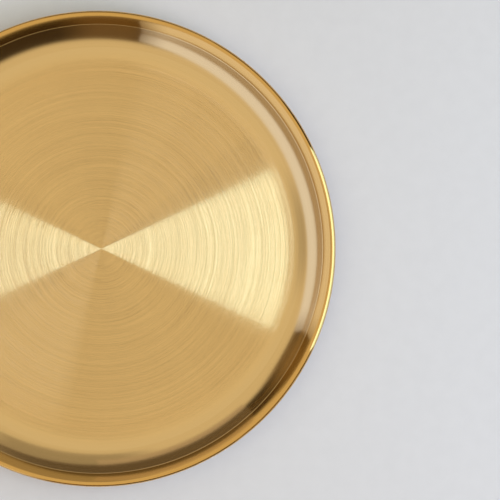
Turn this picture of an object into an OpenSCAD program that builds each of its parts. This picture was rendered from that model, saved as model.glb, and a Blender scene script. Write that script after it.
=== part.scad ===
// Thali plate: a round serving plate pressed from one sheet of gold-coloured
// steel, with a flat floor, a sloping wall, a domed lip and a rolled, wired edge.
// Millimetres, +Z up. The plate stands on the table, z = 0, and is centred on Z.

/* [Plate] */
// Outside diameter over the rolled edge
plate_d = 280; // [220:1:340]
// Height from the table to the top of the rolled edge
plate_h = 16; // [12:0.5:24]
// Thickness of the sheet
sheet_t = 0.7; // [0.5:0.05:0.9]

/* [Floor and wall] */
// Length of the wall's straight part
wall_len = 3; // [1.5:0.25:4.5]
// Slope of the wall's straight part, in degrees
wall_slope = 46; // [40:1:50]

/* [Ledge] */
// Outside radius of the crease at the top of the wall
crease_r = 1; // [0.95:0.05:1.6]
// Inside radius of the bend from the ledge to the lip
ledge_r = 0.5; // [0.3:0.05:1]
// Slope of the ledge at its flattest, in degrees
ledge_slope = 30; // [24:1:36]

/* [Lip] */
// Width of the domed lip, from the ledge to the rolled edge
lip_w = 4; // [3.4:0.1:5]
// Slope of the lip where it leaves the ledge, in degrees
lip_slope = 46; // [42:1:52]

/* [Rolled edge] */
// Diameter of the wire in the rolled edge
wire_d = 2.4; // [2:0.1:3]
// Clearance between the wire and the sheet around it
wire_clearance = 0.2; // [0.15:0.05:0.3]
// Slope of the sheet where the lip runs into the roll, in degrees
roll_slope = 34.5; // [28:0.5:38]
// Gap between the cut end of the sheet and the underside of the lip
end_gap = 0.2; // [0.1:0.05:0.4]

/* [Hidden] */
$fn = 180;

// The roll is a round bend about the wire
roll_r = wire_d / 2 + wire_clearance + sheet_t;
wire_ring_r = plate_d / 2 - roll_r;
wire_z = plate_h - roll_r;

// The lip's dome joins the ledge to the roll over the lip's width. The exported files
// keep six digits, so its radius, like the wide bend's, is rounded to what they hold
dome_r = round(1000 * lip_w / (sin(lip_slope) - sin(roll_slope))) / 1000;

// The wide bend from the floor to the wall takes up the height that the rest leaves
crease_rise = crease_r * (cos(ledge_slope) - cos(wall_slope));
ledge_rise = ledge_r * (cos(ledge_slope) - cos(lip_slope));
dome_rise = dome_r * (cos(roll_slope) - cos(lip_slope));
lip_end_z = wire_z + roll_r * cos(roll_slope);
wall_rise = wall_len * sin(wall_slope);
bend_rise = lip_end_z - sheet_t - wall_rise - crease_rise - ledge_rise - dome_rise;
bend_r = round(1000 * bend_rise / (1 - cos(wall_slope))) / 1000;

// The flat floor takes up the radius that the bends leave
crease_run = crease_r * (sin(wall_slope) - sin(ledge_slope));
ledge_run = ledge_r * (sin(lip_slope) - sin(ledge_slope));
wall_run = wall_len * cos(wall_slope) + bend_r * sin(wall_slope);
lip_end_r = wire_ring_r - roll_r * sin(roll_slope);
floor_r = lip_end_r - lip_w - ledge_run - crease_run - wall_run;

// The roll goes round until its cut end is end_gap short of the lip's underside
under_lip_r = dome_r - sheet_t - end_gap;
centre_gap = dome_r - roll_r;
open_angle = acos((under_lip_r ^ 2 - centre_gap ^ 2 - roll_r ^ 2) / (2 * centre_gap * roll_r));
roll_angle = 360 - open_angle;

// A turn that six digits hold: the nearest angle whose sine and cosine, rounded, still
// square to one, so that the faces on both sides of a bend's end meet without a step
function six(x) = round(x * 1e6) / 1e6;
function misfit(angle) = abs(six(sin(angle)) ^ 2 + six(cos(angle)) ^ 2 - 1);
function clean_turn(angle) =
    let (near = [for (k = [0:2000]) for (side = [-1, 1]) angle + side * k * 0.00006])
    [for (a = near) if (misfit(a) < 1e-8) a][0];

// Straight stretch of sheet along +X, with the next stretch at its end
module straight(length) {
    square([length, sheet_t]);
    translate([length, 0])
        children();
}

// Pair of half planes that keeps a ring from its start to a turn about its centre
module turn_window(reach, angle) {
    intersection() {
        translate([0, -reach])
            square([reach, 2 * reach]);
        rotate(angle)
            translate([-reach, -reach])
                square([reach, 2 * reach]);
    }
}

// Upward bend with its upper face at radius r, and the next stretch at its end
module bend_up(r, angle) {
    under_r = r + sheet_t;
    turn = clean_turn(angle);
    translate([0, under_r]) {
        intersection() {
            difference() {
                circle(under_r);
                circle(r);
            }
            turn_window(2 * under_r, turn);
        }
        rotate(turn)
            translate([0, -under_r])
                children();
    }
}

// Downward bend with its upper face at radius r, and the next stretch at its end
module bend_down(r, angle) {
    under_r = r - sheet_t;
    turn = clean_turn(angle);
    translate([0, -under_r]) {
        intersection() {
            difference() {
                circle(r);
                circle(under_r);
            }
            turn_window(2 * r, -turn);
        }
        rotate(-turn)
            translate([0, under_r])
                children();
    }
}

// Half section of the sheet, from the plate's axis to the cut end in the roll
module sheet_section() {
    straight(floor_r)
        bend_up(bend_r, wall_slope)
            straight(wall_len)
                bend_down(crease_r, wall_slope - ledge_slope)
                    bend_up(ledge_r, lip_slope - ledge_slope)
                        bend_down(dome_r, lip_slope - roll_slope)
                            bend_down(roll_r, roll_angle / 2)
                                bend_down(roll_r, roll_angle / 2);
}

// Pressed sheet: floor, wall, ledge, lip and rolled edge in one piece
module plate_pan() {
    color("#cca569")
        rotate_extrude()
            sheet_section();
}

// Steel wire ring that stiffens the rolled edge
module rim_wire() {
    color("#9a9c9e")
        rotate_extrude()
            translate([wire_ring_r, wire_z])
                circle(d = wire_d);
}

plate_pan();
rim_wire();
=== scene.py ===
# %% [markdown]
# # A gold-coloured thali plate
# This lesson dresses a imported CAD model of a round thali: a pressed steel plate with a
# flat, ring-brushed floor, a wide bend, a sloping polished wall, a domed lip and an edge
# that is rolled round a wire. The CAD model is loaded first and stays where it is. It gives
# the size and place of everything, so the lesson starts by reading its box.

# %% Load the CAD frame
import math

import bmesh
import bpy
from mathutils import Matrix, Vector


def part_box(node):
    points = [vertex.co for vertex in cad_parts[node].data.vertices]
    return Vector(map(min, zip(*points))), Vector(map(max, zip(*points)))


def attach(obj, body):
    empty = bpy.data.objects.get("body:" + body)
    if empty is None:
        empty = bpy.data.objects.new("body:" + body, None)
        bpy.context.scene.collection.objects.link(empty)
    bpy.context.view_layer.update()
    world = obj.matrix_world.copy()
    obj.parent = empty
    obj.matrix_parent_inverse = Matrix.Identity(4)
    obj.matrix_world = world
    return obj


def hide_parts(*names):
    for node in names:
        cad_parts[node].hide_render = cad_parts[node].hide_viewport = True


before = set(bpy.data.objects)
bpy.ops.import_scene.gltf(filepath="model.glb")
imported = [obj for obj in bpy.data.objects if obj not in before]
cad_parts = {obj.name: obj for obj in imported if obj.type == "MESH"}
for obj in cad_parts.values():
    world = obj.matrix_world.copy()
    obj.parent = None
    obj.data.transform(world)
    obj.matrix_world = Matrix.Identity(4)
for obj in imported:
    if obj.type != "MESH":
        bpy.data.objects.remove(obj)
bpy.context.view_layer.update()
MM = 0.001

# %% [markdown]
# ## Sizes
# The outside of the plate and the wire in its rim can be measured on the CAD nodes. The
# bends between floor and rim can't be read from a box, so they are written here as the
# sizes that a press tool would have.

# %% Measure the plate
pan_low, pan_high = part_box("plate_pan")
wire_low, wire_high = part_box("rim_wire")


def to_tenth_mm(metres):
    return round(metres, 4)


plate_r = to_tenth_mm(pan_high[0])
plate_h = to_tenth_mm(pan_high[2])
wire_r = to_tenth_mm(wire_high[2] - wire_low[2]) / 2
sheet_t = 0.7 * MM
wire_clearance = 0.2 * MM
wall_len = 3 * MM
crease_r = 1 * MM
ledge_r = 0.5 * MM
lip_w = 4 * MM
end_gap = 0.2 * MM
wall_slope = math.radians(46)
ledge_slope = math.radians(30)
lip_slope = math.radians(46)
roll_slope = math.radians(34.5)
print(f"plate {2 * plate_r / MM:.0f} mm across and {plate_h / MM:.0f} mm high, wire {2 * wire_r / MM:.1f} mm")

# %% [markdown]
# ## The section that follows
# Those sizes settle the rest. The wide bend takes up the height that the wall and the lip
# leave, and the flat floor takes up the radius. The roll goes round the wire until its cut
# end nearly meets the underside of the lip.

# %% Work out the section
roll_r = wire_r + wire_clearance + sheet_t
dome_r = lip_w / (math.sin(lip_slope) - math.sin(roll_slope))
bend_rise = (
    plate_h
    - roll_r * (1 - math.cos(roll_slope))
    - dome_r * (math.cos(roll_slope) - math.cos(lip_slope))
    - ledge_r * (math.cos(ledge_slope) - math.cos(lip_slope))
    - crease_r * (math.cos(ledge_slope) - math.cos(wall_slope))
    - wall_len * math.sin(wall_slope)
    - sheet_t
)
bend_r = bend_rise / (1 - math.cos(wall_slope))
floor_r = (
    plate_r
    - roll_r * (1 + math.sin(roll_slope))
    - lip_w
    - ledge_r * (math.sin(lip_slope) - math.sin(ledge_slope))
    - crease_r * (math.sin(wall_slope) - math.sin(ledge_slope))
    - wall_len * math.cos(wall_slope)
    - bend_r * math.sin(wall_slope)
)
under_lip_r = dome_r - sheet_t - end_gap
centre_gap = dome_r - roll_r
open_turn = math.acos((under_lip_r**2 - centre_gap**2 - roll_r**2) / (2 * centre_gap * roll_r))
roll_turn = math.tau - open_turn
print(f"floor radius {floor_r / MM:.2f} mm, bend radius {bend_r / MM:.2f} mm")
print(f"roll turns {math.degrees(roll_turn):.0f} degrees")

# %% [markdown]
# ## Camera
# The picture looks straight down, with the plate's left side outside the frame. A circle
# fitted to the rim in the 500 pixel square gives its centre and radius. They turn pixels
# into metres at the height of the rim, and so give the point that the camera stands over.
# The floor's brushed rings are centred a little nearer the middle of the picture than the
# rim is, which is perspective, and sets how high the camera stands.

# %% Place the camera
PICTURE_PX = 500
RIM_CENTRE_PX = (97.6, 248.75)
RIM_RADIUS_PX = 238.0
CAMERA_HEIGHT = 0.52
SENSOR_MM = 36

metres_per_px = plate_r / RIM_RADIUS_PX
camera_x = (PICTURE_PX / 2 - RIM_CENTRE_PX[0]) * metres_per_px
camera_y = (RIM_CENTRE_PX[1] - PICTURE_PX / 2) * metres_per_px
rim_z = plate_h - roll_r

camera = bpy.data.objects.new("camera", bpy.data.cameras.new("camera"))
bpy.context.scene.collection.objects.link(camera)
camera.location = (camera_x, camera_y, rim_z + CAMERA_HEIGHT)
camera.data.sensor_width = SENSOR_MM
camera.data.lens = SENSOR_MM * CAMERA_HEIGHT / (PICTURE_PX * metres_per_px)
bpy.context.scene.camera = camera
bpy.context.scene.view_settings.view_transform = "Standard"
print(f"camera over ({camera_x / MM:.1f}, {camera_y / MM:.1f}) mm, lens {camera.data.lens:.1f} mm")

# %% [markdown]
# ## Helpers for materials
# Colours are written as sRGB hex values, as a colour picker shows them, and shaders want
# linear light, so one function converts them. The next adds a node, sets its options and
# fills its inputs: an input that is given another node's output is linked to it. The last
# starts a material and hands over its nodes.

# %% Colour and node helpers


def linear(hex_colour):
    channels = [int(hex_colour[i:i + 2], 16) / 255 for i in (1, 3, 5)]
    return [c / 12.92 if c <= 0.04045 else ((c + 0.055) / 1.055) ** 2.4 for c in channels] + [1.0]


def add_node(tree, kind, inputs=None, **options):
    node = tree.nodes.new(kind)
    for name, value in options.items():
        setattr(node, name, value)
    for name, value in (inputs or {}).items():
        if isinstance(value, bpy.types.NodeSocket):
            tree.links.new(value, node.inputs[name])
        else:
            node.inputs[name].default_value = value
    return node


def new_material(name):
    material = bpy.data.materials.new(name)
    material.use_nodes = True
    tree = material.node_tree
    return material, tree, tree.nodes["Principled BSDF"]


print(f"sRGB #808080 is {linear('#808080')[0]:.3f} in linear light")

# %% [markdown]
# ## Studio
# Polished metal has hardly any colour of its own: it shows the room. Here the room is a
# soft dome that is pale overhead and dim near the horizon, tipped a little because a room
# is brighter on one side. Where a low view looks past the table, the camera sees a plain
# pale backdrop instead.

# %% Dome
DOME_TOP = "#dfd0ab"
DOME_LOW = "#3c2f1e"
DOME_AXIS = (-0.078, 0.135, 0.988)
# The dome brightens between these heights along its axis, on a sphere of radius 1
DOME_LOW_Z = 0.41
DOME_TOP_Z = 0.54
BACKDROP = "#d8d8da"

world = bpy.data.worlds.new("studio_dome")
bpy.context.scene.world = world
world.use_nodes = True
tree = world.node_tree
sky = add_node(tree, "ShaderNodeTexCoord").outputs["Generated"]
height = add_node(
    tree, "ShaderNodeVectorMath", {0: sky, 1: DOME_AXIS}, operation="DOT_PRODUCT"
).outputs["Value"]
rise = add_node(
    tree,
    "ShaderNodeMapRange",
    {"Value": height, "From Min": DOME_LOW_Z, "From Max": DOME_TOP_Z},
    interpolation_type="SMOOTHSTEP",
).outputs["Result"]
dome = add_node(
    tree,
    "ShaderNodeMix",
    {0: rise, 6: linear(DOME_LOW), 7: linear(DOME_TOP)},
    data_type="RGBA",
).outputs[2]
from_camera = add_node(tree, "ShaderNodeLightPath").outputs["Is Camera Ray"]
room = add_node(
    tree, "ShaderNodeMix", {0: from_camera, 6: dome, 7: linear(BACKDROP)}, data_type="RGBA"
).outputs[2]
tree.links.new(room, tree.nodes["Background"].inputs["Color"])
print(f"dome: {DOME_LOW} near the horizon, {DOME_TOP} overhead")

# %% [markdown]
# ## Lamps
# A tall softbox stands on the right. It spans 25 degrees to each side of the plate's middle
# near the table, and that angle sets the width of the bright bow tie on the floor. A key
# lamp lights the table from the same side, and the metal doesn't show it.

# %% Softbox and key lamp


def add_lamp(name, bearing, distance, width, low, high, radiance, tint, lean=0):
    """A soft lamp that faces the plate, with its top leaning in, and its radiance as seen."""
    tilt = math.radians(lean)
    length = (high - low) / math.cos(tilt)
    light = bpy.data.lights.new(name, "AREA")
    light.shape = "RECTANGLE"
    light.size = width
    light.size_y = length
    light.energy = radiance * math.pi * width * length
    light.color = linear(tint)[:3]
    lamp = bpy.data.objects.new(name, light)
    bpy.context.scene.collection.objects.link(lamp)
    around = math.radians(bearing)
    lamp.location = (distance * math.cos(around), distance * math.sin(around), (low + high) / 2)
    lamp.rotation_euler = (math.pi / 2 - tilt, 0, around + math.pi / 2)
    lamp.visible_camera = False
    print(f"{name}: {width:.2f} x {length:.2f} m, {light.energy:.0f} W")
    return lamp


# Bearings are degrees from +X, and lengths are metres
add_lamp("softbox", 0, 0.78, width=1.02, low=0.1, high=3.0, radiance=1.9, tint="#bbe4ff", lean=7.5)
key = add_lamp("key", -32, 1.6, width=0.8, low=0.6, high=1.4, radiance=6.7, tint="#f3edff")
key.visible_glossy = False

# %% [markdown]
# ## Cards and flags
# Photographers stand cards round shiny things, so that pale and dark bands draw their
# shape. Each board here glows, so it shows in the metal with the tone that it is given, and
# it lights nothing else. A feathered board fades out towards its sides, so the band that it
# draws ends gently.

# %% One glowing board


def board_material(name, tone, width, feather):
    """A glow in one tone that fades out towards the board's two sides."""
    material, tree, shader = new_material(name)
    tree.nodes.remove(shader)
    place = add_node(tree, "ShaderNodeTexCoord").outputs["Object"]
    across = add_node(tree, "ShaderNodeSeparateXYZ", {"Vector": place}).outputs["X"]
    off_middle = add_node(tree, "ShaderNodeMath", {0: across}, operation="ABSOLUTE").outputs[0]
    solid = add_node(
        tree,
        "ShaderNodeMapRange",
        {"Value": off_middle, "From Min": width / 2, "From Max": width / 2 - feather},
        interpolation_type="SMOOTHSTEP",
    ).outputs["Result"]
    clear = add_node(tree, "ShaderNodeBsdfTransparent").outputs["BSDF"]
    glow = add_node(tree, "ShaderNodeEmission", {"Color": linear(tone)}).outputs["Emission"]
    look = add_node(tree, "ShaderNodeMixShader", {0: solid, 1: clear, 2: glow}).outputs["Shader"]
    tree.links.new(look, tree.nodes["Material Output"].inputs["Surface"])
    return material


def add_board(name, bearing, distance, width, low, high, tone, roll=0, feather=0.01):
    """A flat board that stands round the plate, turned in its own plane by its roll."""
    bm = bmesh.new()
    bmesh.ops.create_grid(bm, x_segments=1, y_segments=1, size=0.5)
    bmesh.ops.scale(bm, verts=bm.verts[:], vec=(width, high - low, 1))
    bmesh.ops.rotate(bm, verts=bm.verts[:], matrix=Matrix.Rotation(math.radians(roll), 3, "Z"))
    mesh = bpy.data.meshes.new(name)
    bm.to_mesh(mesh)
    bm.free()
    board = bpy.data.objects.new(name, mesh)
    bpy.context.scene.collection.objects.link(board)
    around = math.radians(bearing)
    board.location = (distance * math.cos(around), distance * math.sin(around), (low + high) / 2)
    board.rotation_euler = (math.pi / 2, 0, around + math.pi / 2)
    board.visible_camera = False
    board.visible_diffuse = False
    mesh.materials.append(board_material(name, tone, width, feather))
    print(f"{name}: {width:.2f} x {high - low:.2f} m at {bearing} degrees")


# %% [markdown]
# ## Where the boards stand
# A white card on the left gives the pale band along the wall, and its greyer foot gives the
# band above that. Grey cards at the back do the same for the near side of the plate, and
# dark flags on the right draw a line along the rolled edge. The last four cards are
# feathered, and soften the ends of the bands that the others draw.

# %% Boards round the plate
# Bearings are degrees from +X, and lengths are metres
add_board("white_card", 205, 1.80, width=3.46, low=0.36, high=1.40, tone="#f0f2fa", roll=5)
add_board("white_card_foot", 205, 1.81, width=3.46, low=-0.1, high=0.37, tone="#a89679", roll=5)
add_board("grey_card", 103, 1.80, width=2.80, low=0.02, high=0.74, tone="#615441")
add_board("grey_card_top", 103, 1.81, width=2.80, low=0.73, high=1.25, tone="#bbaa8e")
add_board("dark_flag", 36, 1.80, width=0.57, low=0.02, high=2.10, tone="#33291b")
add_board("back_flag", 56, 1.82, width=0.90, low=0.02, high=1.90, tone="#85755a")
add_board("front_flag", -49, 1.82, width=0.84, low=0.02, high=1.90, tone="#7d6c50")
add_board("front_card", -104, 1.82, width=1.00, low=0.02, high=1.30, tone="#6d5739", feather=0.4)
add_board("side_card", 156, 1.82, width=0.75, low=0.02, high=0.95, tone="#7a6340", feather=0.35)
add_board("back_card", 92, 1.79, width=1.90, low=0.74, high=1.95, tone="#a89c80", feather=0.5)
add_board("high_card", 183, 1.83, width=1.10, low=1.38, high=3.00, tone="#bcaf90", feather=0.5)

# %% [markdown]
# ## Table
# The plate lies on a pale, matt table top. A single large face is enough, with a little
# mottling in its paint so that it isn't one flat tone.

# %% Table top
TABLE_HALF = 0.8
TABLE_PAINT = "#e3e2ea"
TABLE_MOTTLE = "#dddce4"
MOTTLE_SIZE = 9 * MM
MOTTLE_DETAIL = 5.0
PAINT_ROUGHNESS = 0.8
PAINT_SHINE = 0.2

bm = bmesh.new()
bmesh.ops.create_grid(bm, x_segments=1, y_segments=1, size=TABLE_HALF)
table_mesh = bpy.data.meshes.new("table_top")
bm.to_mesh(table_mesh)
bm.free()
table = bpy.data.objects.new("table_top", table_mesh)
bpy.context.scene.collection.objects.link(table)

# Matt paint: hardly any shine, and a cloudy tone that is only seen close up
paint, tree, shader = new_material("matt_table_paint")
place = add_node(tree, "ShaderNodeTexCoord").outputs["Object"]
mottle = add_node(
    tree,
    "ShaderNodeTexNoise",
    {"Vector": place, "Scale": 1 / MOTTLE_SIZE, "Detail": MOTTLE_DETAIL},
)
tone = add_node(
    tree,
    "ShaderNodeMix",
    {0: mottle.outputs["Fac"], 6: linear(TABLE_PAINT), 7: linear(TABLE_MOTTLE)},
    data_type="RGBA",
).outputs[2]
tree.links.new(tone, shader.inputs["Base Color"])
shader.inputs["Roughness"].default_value = PAINT_ROUGHNESS
shader.inputs["Specular IOR Level"].default_value = PAINT_SHINE
table_mesh.materials.append(paint)
print(f"table top: {2 * TABLE_HALF:.1f} m square")

# %% [markdown]
# ## The plate's section
# On the real plate, one disc of sheet is pressed into a pan and its edge is rolled over a
# wire. The model follows the same line. It starts as one point on the plate's axis and is
# drawn out: extruding a vertex gives a straight stretch, and spinning it about the centre
# of a bend gives an arc. Each arc starts where the last one ended and leaves in the same
# direction, so the section has no kinks.

# %% Draw the upper face of the sheet
BEND_STEPS = 32
CREASE_STEPS = 8
LEDGE_STEPS = 8
DOME_STEPS = 14
ROLL_STEPS = 54

bm = bmesh.new()
run_layer = bm.verts.layers.float.new("run")
slope = 0.0
tip = bm.verts.new((0, 0, sheet_t))


def draw_straight(length):
    global tip
    tip = bmesh.ops.extrude_vert_indiv(bm, verts=[tip])["verts"][0]
    bmesh.ops.translate(bm, verts=[tip], vec=(length * math.cos(slope), 0, length * math.sin(slope)))


def draw_bend(radius, turn, steps):
    """Turns the line upwards for a positive turn, about a centre above the sheet, or downwards."""
    global tip, slope
    to_centre = Vector((-math.sin(slope), 0, math.cos(slope))) * math.copysign(radius, turn)
    arc = bmesh.ops.spin(
        bm, geom=[tip], cent=tip.co + to_centre, axis=(0, -1, 0), angle=turn, steps=steps
    )
    tip = arc["geom_last"][0]
    slope += turn


draw_straight(floor_r)
draw_bend(bend_r, wall_slope, BEND_STEPS)
draw_straight(wall_len)
draw_bend(crease_r, ledge_slope - wall_slope, CREASE_STEPS)
draw_bend(ledge_r, lip_slope - ledge_slope, LEDGE_STEPS)
draw_bend(dome_r, roll_slope - lip_slope, DOME_STEPS)
draw_bend(roll_r, -roll_turn, ROLL_STEPS)

bm.verts.ensure_lookup_table()
for before, after in zip(bm.verts[:-1], bm.verts[1:]):
    after[run_layer] = before[run_layer] + (after.co - before.co).length
sheet_run = bm.verts[-1][run_layer]
print(f"section: {len(bm.verts)} points, {sheet_run / MM:.1f} mm of sheet")

# %% [markdown]
# ## Spin and thicken
# A full spin about Z turns the line into the plate's upper face. The points on the axis
# fall together and are merged into one pole. Then the faces are made to look up, and the
# sheet gets its thickness below them.

# %% Spin the section and give it thickness
AROUND = 360
MERGE_DISTANCE = 0.001 * MM
# Materials of the plate, in the order of their slots
FLOOR, WALL, LIP, UNDERSIDE = range(4)
# Slopes of the bend where the brushing starts to fade, and where it is gone
FADE_FROM = math.radians(5)
FADE_TO = math.radians(24)
fade_r = floor_r + bend_r * math.sin(FADE_TO)
lip_r = plate_r - roll_r * (1 + math.sin(roll_slope)) - lip_w

bmesh.ops.spin(
    bm,
    geom=bm.verts[:] + bm.edges[:],
    cent=(0, 0, 0),
    axis=(0, 0, 1),
    angle=math.tau,
    steps=AROUND,
    use_merge=True,
)
bmesh.ops.remove_doubles(bm, verts=bm.verts[:], dist=MERGE_DISTANCE)
bmesh.ops.recalc_face_normals(bm, faces=bm.faces[:])
floor_face = min(bm.faces, key=lambda f: f.calc_center_median().length)
if floor_face.normal.z < 0:
    bmesh.ops.reverse_faces(bm, faces=bm.faces[:])
for face in bm.faces:
    middle = face.calc_center_median()
    middle_r = math.hypot(middle.x, middle.y)
    face.material_index = FLOOR if middle_r < fade_r else WALL if middle_r < lip_r else LIP
    face.smooth = True
upper = set(bm.faces)
upper_verts = set(bm.verts)
bmesh.ops.solidify(bm, geom=bm.faces[:], thickness=sheet_t)
print(f"plate: {len(bm.faces)} faces, lowest point {min(v.co.z for v in bm.verts) / MM:.3f} mm")

# %% [markdown]
# ## A map that follows the rings
# Everything on this plate runs round in rings, so its UV map is unrolled the same way: U
# goes once round the plate and V follows the sheet from the axis to the cut edge, first
# over the upper face and then over the lower one. The grain of the brushing then lies
# along U wherever the mesh is used.

# %% Unroll the plate and sort its faces
MAP_GAP = 0.01
# The strip for the cut end lies in the gap, between these shares of it
CUT_END_FROM = 0.2
CUT_END_TO = 0.8
AXIS_RADIUS = 0.01 * MM
SHARP = math.radians(40)

ring_map = bm.loops.layers.uv.new("OFBake")
half_map = 0.5 - MAP_GAP
for face in bm.faces:
    middle = face.calc_center_median()
    middle_angle = math.atan2(middle.y, middle.x) % math.tau
    under = face not in upper
    cut_end = under and any(v in upper_verts for v in face.verts)
    if under:
        face.material_index = UNDERSIDE
        face.smooth = True
    for loop in face.loops:
        co = loop.vert.co
        on_axis = math.hypot(co.x, co.y) < AXIS_RADIUS
        angle = middle_angle if on_axis else math.atan2(co.y, co.x)
        around = middle_angle + (angle - middle_angle + math.pi) % math.tau - math.pi
        along = loop.vert[run_layer] / sheet_run * half_map
        if cut_end:
            along = half_map + MAP_GAP * (CUT_END_FROM if loop.vert in upper_verts else CUT_END_TO)
        elif under:
            along += 0.5
        loop[ring_map].uv = (around / math.tau, along)
for edge in bm.edges:
    edge.smooth = edge.calc_face_angle(0.0) < SHARP

plate_mesh = bpy.data.meshes.new("plate")
bm.to_mesh(plate_mesh)
bm.free()
plate = bpy.data.objects.new("plate", plate_mesh)
bpy.context.scene.collection.objects.link(plate)
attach(plate, "root")
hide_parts("plate_pan")
print(f"plate: {len(plate_mesh.polygons)} faces, {len(plate_mesh.vertices)} vertices")

# %% [markdown]
# ## Patterns that run in rings
# Brushing and turning leave marks that run round the plate, so its finishes share three
# functions. The first finds the direction outwards, the direction round the plate and the
# distance from its axis. The second adds the height to that distance, so that a pattern
# goes on evenly up a slope. The third draws noise out into arcs.

# %% Ring patterns
# A quarter turn of Anisotropic Rotation, from along the grooves to across them
QUARTER_TURN = 0.25


def ring_frame(tree):
    """The direction outwards, the direction round the plate, and the distance from its axis."""
    place = add_node(tree, "ShaderNodeTexCoord").outputs["Object"]
    flat = add_node(
        tree, "ShaderNodeVectorMath", {0: place, 1: (1, 1, 0)}, operation="MULTIPLY"
    ).outputs["Vector"]
    radius = add_node(tree, "ShaderNodeVectorMath", {0: flat}, operation="LENGTH").outputs["Value"]
    outward = add_node(tree, "ShaderNodeVectorMath", {0: flat}, operation="NORMALIZE").outputs["Vector"]
    round_it = add_node(
        tree, "ShaderNodeVectorMath", {0: (0, 0, 1), 1: outward}, operation="CROSS_PRODUCT"
    ).outputs["Vector"]
    return outward, round_it, radius


def run_up_slope(tree, radius):
    """A distance that grows outwards and upwards, for patterns on the sloping parts."""
    place = add_node(tree, "ShaderNodeTexCoord").outputs["Object"]
    height = add_node(tree, "ShaderNodeSeparateXYZ", {"Vector": place}).outputs["Z"]
    return add_node(tree, "ShaderNodeMath", {0: radius, 1: height}, operation="ADD").outputs[0]


def ring_streaks(tree, outward, run, pitch, arcs, detail):
    """Noise drawn out into arcs: one cell to each pitch of the run, and arcs cells to a radian."""
    along = add_node(tree, "ShaderNodeMath", {0: run, 1: 1 / pitch}, operation="MULTIPLY").outputs[0]
    climb = add_node(tree, "ShaderNodeCombineXYZ", {"Z": along}).outputs["Vector"]
    spot = add_node(
        tree,
        "ShaderNodeVectorMath",
        {0: outward, 1: (arcs, arcs, 0), 2: climb},
        operation="MULTIPLY_ADD",
    ).outputs["Vector"]
    noise = add_node(
        tree, "ShaderNodeTexNoise", {"Vector": spot, "Scale": 1.0, "Detail": detail}
    )
    return noise.outputs["Fac"]


# %% [markdown]
# ## Brushed gold floor
# The sheet is stainless steel with a thin gold-coloured nitride coating, and the floor was
# brushed while the plate turned. Brushing leaves grooves that run in rings, so the surface
# is much rougher across them, along the radius, than along them. Light from the softbox is
# smeared along the radius only, which draws the bow tie. Principled BSDF does this with
# Anisotropic: the tangent runs round the plate, and a quarter turn of rotation puts the
# smear along the radius. It can't smear as far as brushing does, so the normal also leans
# in and out from groove to groove. The rings that the eye can follow are a coarser noise,
# stretched into arcs, in the tone. Up the bend the brushing fades into the wall's polish.

# %% Brushed floor
FLOOR_GOLD = "#fcddab"
FLOOR_GOLD_DEEP = "#eccd99"
FLOOR_ROUGHNESS = 0.20
WALL_GOLD = "#eed2a4"
WALL_GOLD_DEEP = "#e8ca99"
POLISH_ROUGHNESS = 0.10
# Grooves as wide as the grit of the brush. They show together, as the spread of the light
GROOVE_PITCH = 0.02 * MM
# Slope of the steepest grooves, as rise over run
GROOVE_LEAN = 2.1
# Rings of deeper and lighter brushing, drawn coarser than single grooves so that they show
STREAK_PITCH = 0.6 * MM
STREAK_ARCS = 0.7
STREAK_DETAIL = 4.0

# Brushed coating: a satin gold, with its highlights drawn out into rays across the grooves
brushed, tree, shader = new_material("brushed_gold_nitride_on_steel")
outward, round_it, radius = ring_frame(tree)
streaks = ring_streaks(tree, outward, radius, STREAK_PITCH, STREAK_ARCS, STREAK_DETAIL)
tone = add_node(
    tree,
    "ShaderNodeMix",
    {0: streaks, 6: linear(FLOOR_GOLD_DEEP), 7: linear(FLOOR_GOLD)},
    data_type="RGBA",
).outputs[2]
fade = add_node(
    tree,
    "ShaderNodeMapRange",
    {"Value": radius, "From Min": floor_r + bend_r * math.sin(FADE_FROM), "From Max": fade_r},
    interpolation_type="SMOOTHSTEP",
).outputs["Result"]
grooves = ring_streaks(tree, outward, radius, GROOVE_PITCH, STREAK_ARCS, STREAK_DETAIL)
lean = add_node(
    tree, "ShaderNodeMapRange", {"Value": grooves, "To Min": -GROOVE_LEAN, "To Max": GROOVE_LEAN}
).outputs["Result"]
lean = add_node(tree, "ShaderNodeMix", {0: fade, 2: lean, 3: 0.0}).outputs[0]
smooth = add_node(tree, "ShaderNodeNewGeometry").outputs["Normal"]
leaning = add_node(
    tree, "ShaderNodeVectorMath", {0: outward, 1: lean, 2: smooth}, operation="MULTIPLY_ADD"
).outputs["Vector"]
normal = add_node(tree, "ShaderNodeVectorMath", {0: leaning}, operation="NORMALIZE").outputs["Vector"]
roughness = add_node(
    tree, "ShaderNodeMix", {0: fade, 2: FLOOR_ROUGHNESS, 3: POLISH_ROUGHNESS}
).outputs[0]
tone = add_node(
    tree, "ShaderNodeMix", {0: fade, 6: tone, 7: linear(WALL_GOLD)}, data_type="RGBA"
).outputs[2]
for socket, source in (
    ("Base Color", tone),
    ("Normal", normal),
    ("Tangent", round_it),
    ("Roughness", roughness),
):
    tree.links.new(source, shader.inputs[socket])
shader.inputs["Metallic"].default_value = 1.0
shader.inputs["Anisotropic"].default_value = 1.0
shader.inputs["Anisotropic Rotation"].default_value = QUARTER_TURN
print(f"brushed floor: grooves {GROOVE_PITCH / MM:.2f} mm, rings {STREAK_PITCH / MM:.1f} mm apart")

# %% [markdown]
# ## Polished gold wall, lip and roll
# Above the floor the sheet was polished on the lathe. It is close to a mirror, with only
# fine turning lines left, so it shows the dome, the cards and the dark of the room as clean
# bands. The coating came out a deeper gold on the lip and the rolled edge, so the same
# polish is made twice, in two tones.

# %% Polished wall and rim
LIP_GOLD = "#ebc280"
LIP_GOLD_DEEP = "#e2b771"
# Turning lines are about a tenth of this apart, and are drawn coarser so that they show
LINE_PITCH = 0.9 * MM
LINE_ARCS = 1.5
LINE_DETAIL = 3.0
LINE_DEPTH = 0.002 * MM


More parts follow.
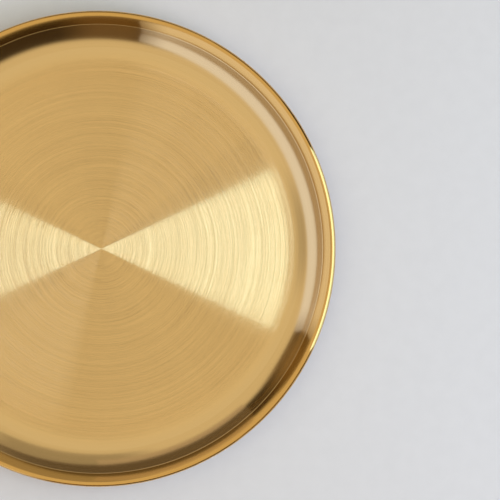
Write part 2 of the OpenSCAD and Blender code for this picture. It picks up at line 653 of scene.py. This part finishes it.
def polished_gold(name, gold, gold_deep):
    """Polished coating: a clean mirror in gold that fine rings break up a little."""
    material, tree, shader = new_material(name)
    outward, round_it, radius = ring_frame(tree)
    run = run_up_slope(tree, radius)
    lines = ring_streaks(tree, outward, run, LINE_PITCH, LINE_ARCS, LINE_DETAIL)
    tone = add_node(
        tree,
        "ShaderNodeMix",
        {0: lines, 6: linear(gold_deep), 7: linear(gold)},
        data_type="RGBA",
    ).outputs[2]
    turning = add_node(
        tree, "ShaderNodeBump", {"Height": lines, "Distance": LINE_DEPTH, "Strength": 1.0}
    ).outputs["Normal"]
    for socket, source in (("Base Color", tone), ("Normal", turning), ("Tangent", round_it)):
        tree.links.new(source, shader.inputs[socket])
    shader.inputs["Metallic"].default_value = 1.0
    shader.inputs["Roughness"].default_value = POLISH_ROUGHNESS
    shader.inputs["Anisotropic"].default_value = 1.0
    shader.inputs["Anisotropic Rotation"].default_value = QUARTER_TURN
    return material


wall_polish = polished_gold("polished_gold_nitride_on_steel", WALL_GOLD, WALL_GOLD_DEEP)
lip_polish = polished_gold("polished_deep_gold_nitride_on_steel", LIP_GOLD, LIP_GOLD_DEEP)
print("polished wall and lip: turning lines", LINE_PITCH / MM, "mm apart")

# %% [markdown]
# ## Satin underside
# The lower face keeps the mill's satin finish under the same coating. It is softer and a
# little darker than the polished side.

# %% Underside
UNDER_GOLD = "#d2aa6a"
UNDER_GOLD_DEEP = "#c69c5c"
UNDER_ROUGHNESS = 0.34
# The satin grain is about a tenth of this, and is drawn coarser so that it shows
UNDER_PITCH = 2.4 * MM
UNDER_ARCS = 3.0
UNDER_DETAIL = 4.0
UNDER_GRAIN = 0.5
UNDER_DEPTH = 0.006 * MM

# Satin coating: soft highlights in a duller gold than the polished side's
satin, tree, shader = new_material("satin_gold_nitride_on_steel")
outward, round_it, radius = ring_frame(tree)
grain = ring_streaks(tree, outward, radius, UNDER_PITCH, UNDER_ARCS, UNDER_DETAIL)
tone = add_node(
    tree,
    "ShaderNodeMix",
    {0: grain, 6: linear(UNDER_GOLD_DEEP), 7: linear(UNDER_GOLD)},
    data_type="RGBA",
).outputs[2]
satin_normal = add_node(
    tree, "ShaderNodeBump", {"Height": grain, "Distance": UNDER_DEPTH, "Strength": 1.0}
).outputs["Normal"]
for socket, source in (("Base Color", tone), ("Normal", satin_normal), ("Tangent", round_it)):
    tree.links.new(source, shader.inputs[socket])
shader.inputs["Metallic"].default_value = 1.0
shader.inputs["Roughness"].default_value = UNDER_ROUGHNESS
shader.inputs["Anisotropic"].default_value = UNDER_GRAIN
shader.inputs["Anisotropic Rotation"].default_value = QUARTER_TURN

for material in (brushed, wall_polish, lip_polish, satin):
    plate_mesh.materials.append(material)
print("plate finishes:", [m.name for m in plate_mesh.materials])

# %% [markdown]
# ## Wire
# The ring inside the roll is drawn steel wire, bare and grey. It hardly shows, but the CAD
# node is kept, so it gets its own finish: fine die lines along its length.

# %% Drawn steel wire
WIRE_GREY = "#b4b6b8"
WIRE_GREY_DEEP = "#9c9ea1"
# Die lines are about a tenth of this apart, and are drawn coarser so that they show
DIE_LINE_PITCH = 0.5 * MM
DIE_LINE_ARCS = 1.0
DIE_LINE_DETAIL = 3.0
WIRE_ROUGHNESS = 0.3

# Drawn steel: a grey sheen with fine lines along the wire
drawn, tree, shader = new_material("drawn_steel_wire")
outward, _, radius = ring_frame(tree)
run = run_up_slope(tree, radius)
die_lines = ring_streaks(tree, outward, run, DIE_LINE_PITCH, DIE_LINE_ARCS, DIE_LINE_DETAIL)
tone = add_node(
    tree,
    "ShaderNodeMix",
    {0: die_lines, 6: linear(WIRE_GREY_DEEP), 7: linear(WIRE_GREY)},
    data_type="RGBA",
).outputs[2]
tree.links.new(tone, shader.inputs["Base Color"])
shader.inputs["Metallic"].default_value = 1.0
shader.inputs["Roughness"].default_value = WIRE_ROUGHNESS
wire_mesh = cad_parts["rim_wire"].data
wire_mesh.materials.clear()
wire_mesh.materials.append(drawn)
print("wire finish:", drawn.name)
